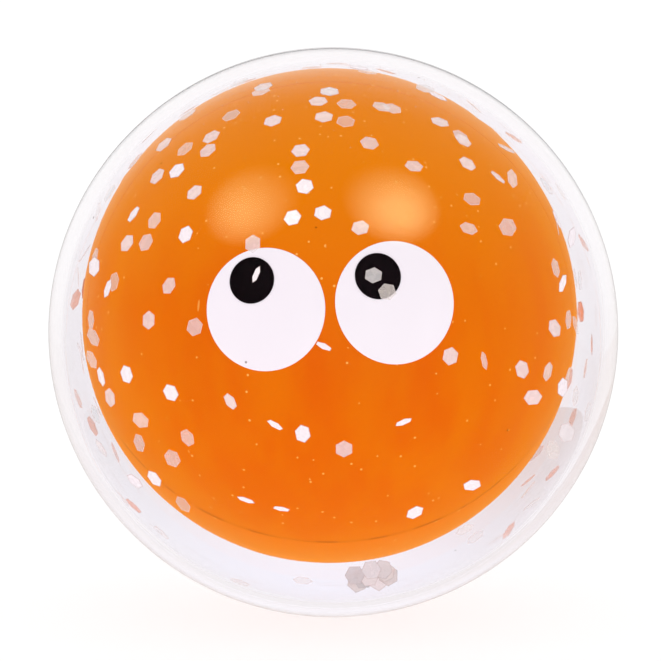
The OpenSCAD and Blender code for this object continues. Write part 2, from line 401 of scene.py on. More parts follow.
class Graph:
    """A node tree that is written one node at a time."""

    def __init__(self, tree: bpy.types.NodeTree) -> None:
        """Starts with an empty tree."""
        self.tree = tree
        self.tree.nodes.clear()

    def add(
        self, kind: str, inputs: dict[str | int, Any] | None = None, **settings: Any
    ) -> bpy.types.Node:
        """Adds a node.

        Args:
            kind: Blender's name for the node.
            inputs: A value, or a socket to link from, for each input by name or number.
            settings: Properties of the node itself.

        Returns:
            The node.
        """
        node = self.tree.nodes.new(kind)
        node.location = (220 * len(self.tree.nodes), 0)
        for key, value in settings.items():
            setattr(node, key, value)
        for key, value in (inputs or {}).items():
            self.feed(node.inputs[key], value)
        return node

    def feed(self, socket: bpy.types.NodeSocket, value: Any) -> None:
        """Links a socket from another one, or sets its own value; a colour gets a full alpha."""
        if isinstance(value, bpy.types.NodeSocket):
            self.tree.links.new(value, socket)
        elif socket.type == "RGBA":
            socket.default_value = (*value, 1.0)
        else:
            socket.default_value = value

    def maths(self, operation: str, first: Any, second: Any = 0.0) -> bpy.types.NodeSocket:
        """Adds a calculation with up to two numbers and gives its result."""
        return self.add("ShaderNodeMath", {0: first, 1: second}, operation=operation).outputs[0]

    def blend(self, share: Any, first: Any, second: Any) -> bpy.types.NodeSocket:
        """Mixes two colours and gives the result."""
        node = self.add("ShaderNodeMix", {0: share, 6: first, 7: second}, data_type="RGBA")
        return node.outputs[2]

    def span(
        self, value: Any, low: float, high: float, to_low: float = 0.0, to_high: float = 1.0
    ) -> bpy.types.NodeSocket:
        """Maps a number smoothly from one range to another, and holds it there."""
        inputs = {"Value": value, "From Min": low, "From Max": high, "To Min": to_low, "To Max": to_high}
        return self.add("ShaderNodeMapRange", inputs, interpolation_type="SMOOTHSTEP").outputs[0]

    def place(self) -> bpy.types.NodeSocket:
        """Gives the Object coordinates."""
        return self.add("ShaderNodeTexCoord").outputs["Object"]

    def attribute(self, name: str) -> bpy.types.NodeSocket:
        """Gives a number that the mesh holds for each point."""
        return self.add("ShaderNodeAttribute", attribute_name=name).outputs["Fac"]

    def effect(self, group: bpy.types.NodeTree, inputs: dict[str, Any]) -> bpy.types.NodeSocket:
        """Places a shared effect and gives its result."""
        node = self.add("ShaderNodeGroup", node_tree=group)
        for key, value in inputs.items():
            self.feed(node.inputs[key], value)
        return node.outputs[0]

    def relief(self, height: Any, strength: float, depth: float) -> bpy.types.NodeSocket:
        """Turns a height into a bumped normal."""
        inputs = {"Height": height, "Strength": strength, "Distance": depth}
        return self.add("ShaderNodeBump", inputs).outputs["Normal"]

    def principled(self, inputs: dict[str, Any]) -> bpy.types.NodeSocket:
        """Adds the general surface shader and gives its result."""
        return self.add("ShaderNodeBsdfPrincipled", inputs).outputs[0]

    def show(self, shader: bpy.types.NodeSocket) -> None:
        """Sends a shader to the material's output."""
        self.add("ShaderNodeOutputMaterial", {"Surface": shader})


class Effects:
    """Effects that more than one finish uses, each a shader node group that is built once."""

    @staticmethod
    def start(name: str, numbers: Sequence[str], result: str) -> tuple[Graph, dict, bpy.types.Node]:
        """Starts a group.

        Args:
            name: Name of the group.
            numbers: Its inputs besides the place on the surface.
            result: Its output, a number.

        Returns:
            The group's graph, its inputs by name and its output node.
        """
        tree = bpy.data.node_groups.new(name, "ShaderNodeTree")
        graph = Graph(tree)
        tree.interface.new_socket("Place", in_out="INPUT", socket_type="NodeSocketVector")
        for number in numbers:
            tree.interface.new_socket(number, in_out="INPUT", socket_type="NodeSocketFloat")
        tree.interface.new_socket(result, in_out="OUTPUT", socket_type="NodeSocketFloat")
        inputs = graph.add("NodeGroupInput")
        return graph, {socket.name: socket for socket in inputs.outputs}, graph.add("NodeGroupOutput")

    @classmethod
    def cloud(cls) -> bpy.types.NodeTree:
        """Builds soft clouds from 0 to 1, Scale of them to the metre, as in a coloured melt."""
        graph, given, out = cls.start("Melt cloud", ["Scale"], "Cloud")
        inputs = {"Vector": given["Place"], "Scale": given["Scale"], "Detail": 4.0, "Roughness": 0.55}
        noise = graph.add("ShaderNodeTexNoise", inputs)
        graph.feed(out.inputs["Cloud"], graph.span(noise.outputs[0], 0.32, 0.68))
        return graph.tree

    @classmethod
    def grain(cls) -> bpy.types.NodeTree:
        """Builds the height of a moulded surface: a long ripple with a fine grain on it."""
        graph, given, out = cls.start("Moulded grain", ["Scale", "Fine Share"], "Height")
        place, scale = given["Place"], given["Scale"]
        wide = graph.add("ShaderNodeTexNoise", {"Vector": place, "Scale": scale, "Detail": 1.0})
        fine_scale = graph.maths("MULTIPLY", scale, 24.0)
        fine = graph.add("ShaderNodeTexNoise", {"Vector": place, "Scale": fine_scale, "Detail": 2.0})
        share = graph.maths("MULTIPLY", fine.outputs[0], given["Fine Share"])
        graph.feed(out.inputs["Height"], graph.maths("ADD", wide.outputs[0], share))
        return graph.tree

    @classmethod
    def specks(cls) -> bpy.types.NodeTree:
        """Builds dots: one may lie in each cell, of a Size in cells, and only the Share of cells has one."""
        graph, given, out = cls.start("Dust specks", ["Scale", "Size", "Share"], "Specks")
        cells = graph.add("ShaderNodeTexVoronoi", {"Vector": given["Place"], "Scale": given["Scale"]})
        chance = graph.add("ShaderNodeSeparateColor", {0: cells.outputs["Color"]})
        inside = graph.maths("LESS_THAN", cells.outputs["Distance"], given["Size"])
        chosen = graph.maths("LESS_THAN", chance.outputs[0], given["Share"])
        graph.feed(out.inputs["Specks"], graph.maths("MULTIPLY", inside, chosen))
        return graph.tree


@dataclass
class EffectSet:
    """The shared effects, made once."""

    cloud: bpy.types.NodeTree = field(default_factory=Effects.cloud)
    grain: bpy.types.NodeTree = field(default_factory=Effects.grain)
    specks: bpy.types.NodeTree = field(default_factory=Effects.specks)


def start_material(name: str) -> tuple[bpy.types.Material, Graph]:
    """Makes an empty node material and gives it with its graph."""
    material = bpy.data.materials.new(name)
    material.use_nodes = True
    return material, Graph(material.node_tree)


# Finishes


@dataclass(frozen=True)
class Finish:
    """What a surface is made of.

    Attributes:
        name: Name of the material.
    """

    name: str

    def surface(self, graph: Graph, effects: EffectSet) -> bpy.types.NodeSocket:
        """Writes the nodes of the finish. Each finish has its own way.

        Args:
            graph: The material's empty graph.
            effects: The shared effects.

        Returns:
            The shader of the surface.
        """
        raise NotImplementedError

    def material(self, effects: EffectSet) -> bpy.types.Material:
        """Makes the finish into a material."""
        made, graph = start_material(self.name)
        graph.show(self.surface(graph, effects))
        return made


@dataclass(frozen=True)
class ClearRubber(Finish):
    """Face of the clear rubber that bends light: towards the air, or towards the liquid.

    Attributes:
        bend: Index of the rubber over that of what lies outside the face.
        tint: What is left of white light that passes in and out.
        dust: Colour of the specks on it.
        gloss: Share of the plain mirror image that it gives face on.
        dust_share: Share of the cells that have a speck.
        ripple: Depth of the moulded ripple.
    """

    bend: float
    tint: Colour
    dust: Colour = (0.22, 0.17, 0.16)
    gloss: float = 0.1
    dust_share: float = 0.0
    ripple: float = 0.0

    def surface(self, graph: Graph, effects: EffectSet) -> bpy.types.NodeSocket:
        """Builds glass that lamps and scattered light pass straight through."""
        place = graph.place()
        cloud = graph.effect(effects.cloud, {"Place": place, "Scale": 60.0})
        specks = graph.effect(
            effects.specks, {"Place": place, "Scale": 520.0, "Size": 0.075, "Share": self.dust_share}
        )
        height = graph.effect(effects.grain, {"Place": place, "Scale": 110.0, "Fine Share": 0.03})
        pale = tuple(1 - 0.7 * (1 - part) for part in self.tint)
        shown = graph.principled(
            {
                "Base Color": graph.blend(specks, graph.blend(cloud, self.tint, pale), self.dust),
                "Roughness": graph.span(cloud, 0.0, 1.0, 0.0, 0.03),
                "IOR": self.bend,
                "Specular Tint": (self.gloss,) * 3,
                "Transmission Weight": 1.0,
                "Normal": graph.relief(height, 0.5, self.ripple),
            }
        )
        through = graph.add("ShaderNodeBsdfTransparent", {"Color": tuple(part**0.5 for part in self.tint)})
        path = graph.add("ShaderNodeLightPath")
        for ray in ("Is Diffuse Ray", "Is Shadow Ray"):
            passed = {0: path.outputs[ray], 1: shown, 2: through.outputs[0]}
            shown = graph.add("ShaderNodeMixShader", passed).outputs[0]
        return shown


@dataclass(frozen=True)
class FaintFilm(Finish):
    """Something almost unseen: the bond between rubber pieces, or the liquid itself.

    Attributes:
        colour: Its colour.
        least: How much it covers where it is thinnest.
        most: How much it covers where it is thickest.
        scale: Clouds of it to the metre.
    """

    colour: Colour
    least: float
    most: float
    scale: float

    def surface(self, graph: Graph, effects: EffectSet) -> bpy.types.NodeSocket:
        """Builds a film whose cover drifts in clouds."""
        cloud = graph.effect(effects.cloud, {"Place": graph.place(), "Scale": self.scale})
        return graph.principled(
            {
                "Base Color": graph.blend(cloud, self.colour, tuple(0.7 * part for part in self.colour)),
                "Roughness": 0.6,
                "Specular IOR Level": 0.0,
                "Alpha": graph.span(cloud, 0.0, 1.0, self.least, self.most),
            }
        )


@dataclass(frozen=True)
class MouldedPlastic(Finish):
    """Opaque plastic or printed ink under liquid, with a clouded colour and a satin grain.

    Attributes:
        colour: Its colour.
        cloud: Its colour in the clouds.
        crown: Its colour towards the top, a lighter, yellower orange painted in for the light that falls
            from above.
        speck: Colour of its specks and scuffs.
        speck_share: Share of the cells that have a speck.
        crown_specks: How many times more of them lie on the crown.
        scuff_share: Share of the cells that have a scuff.
        crown_low: Height from which the crown's colour comes in.
        crown_high: Height at which it is full.
        scale: Clouds to the metre.
        smooth: Its lowest roughness.
        rough: Its highest roughness.
        bend: Its index over that of the liquid.
        gloss: Level of its mirror image, of which 0.5 is plain.
        sheen: Weight of its soft edge light.
        sheen_tint: Colour of that light.
        lit_band_axis: Direction across a tilted plane, towards the front; beyond it a paler band is painted.
        lit_band_at: Distance of that plane from the origin, in that direction.
        behind: Its colour beyond that plane, a paler orange painted in for the band of light along the lower
            rim.
        line: Colour of the dark line along that plane, a painted dark reflection.
        line_core: Half the width in which the line is full.
        line_edge: Half the width at which it ends.
    """

    colour: Colour
    cloud: Colour
    crown: Colour
    speck: Colour
    speck_share: float = 0.05
    crown_specks: float = 1.0
    scuff_share: float = 0.0
    crown_low: float = 2.0 * MM
    crown_high: float = 20.0 * MM
    scale: float = 150.0
    smooth: float = 0.32
    rough: float = 0.46
    bend: float = 1.13
    gloss: float = 0.04
    sheen: float = 0.0
    sheen_tint: Colour = (1.0, 0.45, 0.015)
    lit_band_axis: tuple[float, float, float] = (0.0, 0.0, 0.0)
    lit_band_at: float = -1.0
    behind: Colour = (0.81, 0.15, 0.006)
    line: Colour = (0.5, 0.05, 0.0)
    line_core: float = 0.08 * MM
    line_edge: float = 0.3 * MM

    def surface(self, graph: Graph, effects: EffectSet) -> bpy.types.NodeSocket:
        """Builds the plastic, with its specks and scuffs, and with painted light: a lighter top, and a paler
        band with a dark line at a tilted plane.
        """
        place = graph.place()
        swirl = graph.add(
            "ShaderNodeMapping", {"Vector": place, "Rotation": (0.0, 0.6, 0.3), "Scale": (1.0, 1.0, 0.3)}
        )
        cloud = graph.effect(effects.cloud, {"Place": swirl.outputs[0], "Scale": self.scale})
        rise = graph.add("ShaderNodeSeparateXYZ", {0: place}).outputs["Z"]
        above = graph.span(rise, self.crown_low, self.crown_high)
        share = graph.span(above, 0.3, 1.0, self.speck_share, self.crown_specks * self.speck_share)
        specks = graph.effect(effects.specks, {"Place": place, "Scale": 800.0, "Size": 0.1, "Share": share})
        slanted = graph.add(
            "ShaderNodeMapping", {"Vector": place, "Rotation": (0.3, 0.7, 0.2), "Scale": (1.0, 1.0, 0.1)}
        )
        scuffs = graph.effect(
            effects.specks,
            {"Place": slanted.outputs[0], "Scale": 520.0, "Size": 0.06, "Share": self.scuff_share},
        )
        marks = graph.maths("MAXIMUM", specks, graph.maths("MULTIPLY", scuffs, 0.6))
        # Painted light: beyond a tilted plane a paler orange stands for the band of light along the lower
        # rim, and the dark line along the plane is a painted dark reflection.
        across = graph.add("ShaderNodeVectorMath", {0: place, 1: self.lit_band_axis}, operation="DOT_PRODUCT")
        ahead = graph.maths("SUBTRACT", across.outputs["Value"], self.lit_band_at)
        broken = graph.effect(effects.cloud, {"Place": place, "Scale": 330.0})
        line = graph.span(graph.maths("ABSOLUTE", ahead), self.line_core, self.line_edge, 1.0, 0.0)
        line = graph.maths("MULTIPLY", line, graph.span(broken, 0.3, 0.7, 0.3, 0.95))
        # Painted light: towards the top the colour turns to the crown colour, a lighter orange as if lit
        # from above.
        melt = graph.blend(above, graph.blend(cloud, self.colour, self.cloud), self.crown)
        # Painted light: the paler orange of the lower rim's band of light.
        melt = graph.blend(graph.span(ahead, -0.4 * MM, 0.1 * MM), self.behind, melt)
        # Painted reflection: the dark line along the plane.
        melt = graph.blend(line, melt, self.line)
        height = graph.effect(effects.grain, {"Place": place, "Scale": 180.0, "Fine Share": 0.2})
        return graph.principled(
            {
                "Base Color": graph.blend(marks, melt, self.speck),
                "Roughness": graph.span(cloud, 0.0, 1.0, self.smooth, self.rough),
                "IOR": self.bend,
                "Specular IOR Level": self.gloss,
                "Sheen Weight": self.sheen,
                "Sheen Roughness": 0.55,
                "Sheen Tint": self.sheen_tint,
                "Normal": graph.relief(height, 0.4, 0.004 * MM),
            }
        )


@dataclass(frozen=True)
class PearlFlake(Finish):
    """Film of a glitter flake: pearly, more or less see-through, with a fine line round its cut rim.

    Attributes:
        warm: Colour of a dull flake that leans to beige.
        cool: Colour of a dull flake that leans to grey.
        white: Colour of the brightest flakes: their pale pearl, painted up to white for the glint of the
            light they face.
        pale_rim: Colour of a dull flake's rim.
        painted_shadow_rim: Colour of a bright flake's rim, a painted shadow that the flake throws round
            itself.
        rim_cover: How much of what lies behind it the rim covers.
    """

    warm: Colour = (0.88, 0.78, 0.66)
    cool: Colour = (0.74, 0.74, 0.74)
    white: Colour = (0.98, 0.94, 0.95)
    pale_rim: Colour = (0.98, 0.92, 0.87)
    painted_shadow_rim: Colour = (0.6, 0.45, 0.42)
    rim_cover: float = 0.65

    def surface(self, graph: Graph, effects: EffectSet) -> bpy.types.NodeSocket:
        """Builds the film from each flake's brightness, hue, cover and rim; the brightest are painted white
        for a glint.
        """
        cloud = graph.effect(effects.cloud, {"Place": graph.place(), "Scale": 1400.0})
        bright, rim = graph.attribute("bright"), graph.attribute("rim")
        dull = graph.blend(graph.attribute("hue"), self.warm, self.cool)
        mottled = graph.blend(graph.maths("MULTIPLY", cloud, 0.35), dull, self.pale_rim)
        # Painted glint: the brightest flakes are painted white.
        face = graph.blend(bright, mottled, self.white)
        # A bright flake's rim is painted dark, as its shadow round it.
        edge = graph.blend(bright, self.pale_rim, self.painted_shadow_rim)
        line = graph.maths("MULTIPLY", rim, self.rim_cover)
        return graph.principled(
            {
                "Base Color": graph.blend(rim, face, edge),
                "Metallic": 0.1,
                "Roughness": graph.span(cloud, 0.0, 1.0, 0.18, 0.34),
                "IOR": 1.2,
                "Alpha": graph.maths("MAXIMUM", graph.attribute("cover"), line),
            }
        )


@dataclass(frozen=True)
class TurnedSteel(Finish):
    """Steel with the fine rings that a lathe leaves.

    Attributes:
        colour: Its colour.
        stain: Its colour in the clouds.
    """

    colour: Colour = (0.62, 0.62, 0.64)
    stain: Colour = (0.5, 0.49, 0.48)

    def surface(self, graph: Graph, effects: EffectSet) -> bpy.types.NodeSocket:
        """Builds the steel, with rings that follow the slug's length."""
        place = graph.place()
        cloud = graph.effect(effects.cloud, {"Place": place, "Scale": 220.0})
        stretched = graph.add("ShaderNodeMapping", {"Vector": place, "Scale": (1.0, 40.0, 1.0)})
        rings = graph.effect(
            effects.grain, {"Place": stretched.outputs[0], "Scale": 120.0, "Fine Share": 0.3}
        )
        return graph.principled(
            {
                "Base Color": graph.blend(cloud, self.colour, self.stain),
                "Metallic": 1.0,
                "Roughness": graph.span(rings, 0.3, 0.8, 0.22, 0.42),
                "Normal": graph.relief(rings, 0.3, 0.01 * MM),
            }
        )


# Sub-assemblies


@dataclass(frozen=True)
class Plan:
    """Sizes and places that are read from the frame.

    Attributes:
        nodes: The frame's nodes.
        shell_r: Outside radius of the clear ball.
        cavity_r: Radius of the cavity in it.
        ball_r: Outside radius of the floating ball.
        ball_centre: Its centre at rest.
    """

    nodes: dict[str, bpy.types.Object]
    shell_r: float
    cavity_r: float
    ball_r: float
    ball_centre: np.ndarray

    @classmethod
    def of(cls, nodes: dict[str, bpy.types.Object]) -> Plan:
        """Measures the frame's nodes."""
        shell = np.linalg.norm(mesh_points(nodes["front_shell_half"]), axis=1)
        low, high = (np.array(corner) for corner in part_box("front_ball_half"))
        ball_r = (high[0] - low[0]) / 2
        centre = (low + high) / 2
        centre[1] = low[1] + ball_r
        return cls(nodes, float(shell.max()), float(shell.min()), float(ball_r), centre)


@dataclass(frozen=True)
class Photo:
    """Frame of the photograph, and where the ball lies in it.

    Attributes:
        width: Its width and height in pixels.
        ball_x: Pixel of the ball's middle, from the left.
        ball_y: Pixel of the ball's middle, from the top.
        ball_radius: Radius of the ball in pixels.
        elevation: How far the camera looks down.
        distance: From the camera to the ball's middle.
    """

    width: int = 661
    ball_x: float = 333.3
    ball_y: float = 332.2
    ball_radius: float = 285.0
    elevation: float = math.radians(8)
    distance: float = 0.8

    def viewer(self) -> np.ndarray:
        """Gives the direction from the ball to the camera."""
        return np.array([0.0, -math.cos(self.elevation), math.sin(self.elevation)])

    def aim(self, plan: Plan, point: Sequence[float]) -> np.ndarray:
        """Finds the direction from the centre to what shows on the cavity's wall at a point of the photo.

        Where the ray meets the outside, its way w bends to r w + (r c - sqrt(1 - r^2 (1 - c^2))) n, with
        r the inverse of the index, n the outward normal and c = -w n. It then runs to the cavity.

        Args:
            plan: Sizes of the clear ball.
            point: Pixels across and down. What follows them is ignored.

        Returns:
            The unit direction.
        """
        shell_r, cavity_r = plan.shell_r, plan.cavity_r
        viewer, up = self.viewer(), np.cross(self.viewer(), (1.0, 0.0, 0.0))
        scale = shell_r / self.ball_radius
        across, down = (point[0] - self.ball_x) * scale, (point[1] - self.ball_y) * scale
        skin = np.array([across, 0.0, 0.0]) - down * up
        skin += math.sqrt(shell_r**2 - skin @ skin) * viewer
        normal, ratio = skin / shell_r, 1 / RUBBER_INDEX
        cosine = viewer @ normal
        bend = ratio * cosine - math.sqrt(1 - ratio**2 * (1 - cosine**2))
        way = bend * normal - ratio * viewer
        along = skin @ way
        wall = skin - (along + math.sqrt(along**2 - skin @ skin + cavity_r**2)) * way
        return wall / cavity_r


@dataclass
class ClearShell:
    """Clear outer ball: two bonded halves and the plug that closes the filling hole behind.

    Attributes:
        seam: Bevel of the parting line.
        plug_r: Radius of the plug's shank.
        head_r: Radius of the plug's head.
        head_t: Depth of the plug's head.
        gap: Gap round the plug.
        bond: Half of the bond between the two halves.
        columns: Points round the ball.
        rows: Spans from the parting line to the pole.
        plug_columns: Points round the plug.
        plug_rows: Spans from the middle to the edge of the plug's outer end, and of its inner end.
    """

    plan: Plan
    seam: float = 0.15 * MM
    plug_r: float = 2.0 * MM
    head_r: float = 3.5 * MM
    head_t: float = 3.0 * MM
    gap: float = 0.04 * MM
    bond: float = 0.01 * MM
    columns: int = 256
    rows: int = 88
    plug_columns: int = 96
    plug_rows: tuple[int, int] = (10, 8)

    def seam_angle(self) -> float:
        """Gives the angle from the pole at which the outside meets the seam's bevel.

        The bevel rises at 45 degrees from the foot f = r - seam, so its height h solves
        (f + h)^2 + h^2 = r^2.
        """
        foot = self.plan.shell_r - self.seam
        height = (math.sqrt(2 * self.plan.shell_r**2 - foot**2) - foot) / 2
        return math.acos(height / self.plan.shell_r)

    def front(self) -> Skin:
        """Draws the front half: outside, seam bevel, parting face and cavity wall, from pole to pole."""
        outside, cavity = self.plan.shell_r, self.plan.cavity_r
        profile = Profile((0, outside))
        profile.curve(arc(outside, 0, self.seam_angle(), self.rows)[1:], RubberFace.AIR)
        profile.line(outside - self.seam, self.bond, RubberFace.AIR)
        wall = arc(cavity, math.acos(self.bond / cavity), 0, self.rows)
        profile.curve(wall[:1], RubberFace.BOND)
        profile.curve(wall[1:], RubberFace.LIQUID)
        return profile.turned(Placement.about((0, 0, 0), (0, -1, 0)), self.columns)

    def rear(self) -> Skin:
        """Draws the rear half as a hoop round its stepped hole."""
        outside, cavity = self.plan.shell_r, self.plan.cavity_r
        head, shank = self.head_r + self.gap, self.plug_r + self.gap
        shoulder = outside - self.head_t - self.gap
        profile = Profile((outside - self.seam, self.bond))
        rise = arc(outside, self.seam_angle(), math.asin(head / outside), self.rows)
        profile.curve(rise, RubberFace.AIR)
        profile.line(head, shoulder, RubberFace.BOND)
        profile.line(shank, shoulder, RubberFace.BOND)
        fall = arc(cavity, math.asin(shank / cavity), math.acos(self.bond / cavity), self.rows)
        profile.curve(fall[:1], RubberFace.BOND)
        profile.curve(fall[1:], RubberFace.LIQUID)
        profile.line(outside - self.seam, self.bond, RubberFace.BOND)
        return profile.turned(Placement.about((0, 0, 0), (0, 1, 0)), self.columns)

    def plug(self) -> Skin:
        """Draws the plug from the middle of its outer end to the middle of its inner end."""
        outside, cavity = self.plan.shell_r, self.plan.cavity_r
        profile = Profile((0, outside))
        cap = arc(outside, 0, math.asin(self.head_r / outside), self.plug_rows[0])
        profile.curve(cap[1:], RubberFace.AIR)
        profile.line(self.head_r, outside - self.head_t, RubberFace.BOND)
        profile.line(self.plug_r, outside - self.head_t, RubberFace.BOND)
        inner = arc(cavity, math.asin(self.plug_r / cavity), 0, self.plug_rows[1])
        profile.curve(inner[:1], RubberFace.BOND)
        profile.curve(inner[1:], RubberFace.LIQUID)
        return profile.turned(Placement.about((0, 0, 0), (0, 1, 0)), self.plug_columns)

    def build(self, effects: EffectSet) -> None:
        """Makes the three pieces and their finishes."""
        outer = ClearRubber(
            "Clear rubber",
            RUBBER_INDEX,
            (0.93, 0.893, 0.918),
            gloss=0.4,
            dust_share=0.02,
            ripple=0.02 * MM,
        )
        wall = ClearRubber("Cavity wall", RUBBER_INDEX / LIQUID_INDEX, (0.985, 0.97, 0.995))
        bond = FaintFilm("Rubber bond", (0.9, 0.87, 0.9), 0.002, 0.008, 160.0)
        milky = FaintFilm("Plug bond", (0.98, 0.96, 0.98), 0.004, 0.014, 300.0)
        faces = [finish.material(effects) for finish in (outer, wall, bond)]
        for side, skin in (("front", self.front()), ("rear", self.rear())):
            half = build_object(f"clear_{side}", skin, faces)
            settle(half, Body.SHELL, Slot.CLEAR_RUBBER, f"{side}_shell_half")
        faces[RubberFace.BOND] = milky.material(effects)
        plug = build_object("clear_plug", self.plug(), faces)
        settle(plug, Body.SHELL, Slot.PLUG_RUBBER, "filler_plug")


@dataclass
class Liquid:
    """Clear liquid that fills the cavity, with a few pin-head bubbles under the crown.

    Attributes:
        gap: Gap to the cavity's wall.
        bubble_count: Number of bubbles.
        bubble_r: Radius of the largest bubble.
        least_bubble: Least radius of a bubble, as a share of that.
        bubble_reach: Angle from the top within which they lie.
        seed: Seed of their places.
        columns: Points round the liquid.
        rows: Spans from its top to its foot.
    """

    plan: Plan
    gap: float = 0.04 * MM
    bubble_count: int = 60
    bubble_r: float = 0.05 * MM
    least_bubble: float = 0.4
    bubble_reach: float = math.radians(32)
    seed: int = 5
    columns: int = 160
    rows: int = 120

    def bubbles(self) -> Skin:
        """Draws the bubbles: small six-sided balls just under the wall, evenly spread by the golden turn."""
        chance = np.random.default_rng(self.seed).uniform(size=(self.bubble_count, 2))
        number = np.arange(self.bubble_count)
        lean = self.bubble_reach * np.sqrt((number + chance[:, 0]) / self.bubble_count)
        turn = number * GOLDEN_TURN
        aim = np.stack([np.sin(lean) * np.cos(turn), np.sin(lean) * np.sin(turn), np.cos(lean)], axis=-1)
        radius = self.bubble_r * (self.least_bubble + (1 - self.least_bubble) * chance[:, 1])
        ball = revolve(arc(1.0, 0, math.pi, 4), [1] * 4, Placement.about((0, 0, 0), (0, 0, 1)), 6)
        middle = aim * (self.plan.cavity_r - 1.5 * self.gap - radius)[:, None]
        return repeated(ball, middle[:, None] + radius[:, None, None] * ball.points[None])

    def build(self, effects: EffectSet) -> None:
        """Makes the liquid, one skin under the cavity's wall with its bubbles."""
        radius = self.plan.cavity_r - self.gap
        half = Profile((0, radius)).curve(arc(radius, 0, math.pi, self.rows)[1:])
        body = half.turned(Placement.about((0, 0, 0), (0, 0, 1)), self.columns)
        film = FaintFilm("Clear liquid", (0.1, 0.07, 0.11), 0.004, 0.016, 45.0).material(effects)
        froth = FaintFilm("Pin bubbles", (0.98, 0.86, 0.66), 0.35, 0.75, 900.0).material(effects)
        piece = build_object("liquid", body.joined(self.bubbles()), [film, froth])
        settle(piece, Body.LIQUID, Slot.CLEAR_LIQUID, "liquid_fill")


def separate_solids(node: bpy.types.Object) -> np.ndarray:
    """Sorts the corners of a frame node that holds several alike solids.

    Corners that share a face take the lowest label among them until nothing changes, so that each solid
    ends with one label.

    Args:
        node: The frame's node.

    Returns:
        Array of solids by corners by coordinates.
    """
    points = mesh_points(node)
    _, first, number = np.unique(np.round(points / MM, 4), axis=0, return_index=True, return_inverse=True)
    corners = np.empty(3 * len(node.data.polygons), np.int32)
    node.data.polygons.foreach_get("vertices", corners)
    face = number.ravel()[corners].reshape(-1, 3)
    label = np.arange(len(first))
    while True:
        lower = label.copy()
        np.minimum.at(lower, face.ravel(), np.repeat(label[face].min(axis=1), 3))
        if np.array_equal(lower, label):
            break
        label = lower
    order = np.argsort(label, kind="stable")
    return points[first][order].reshape(len(np.unique(label)), -1, 3)


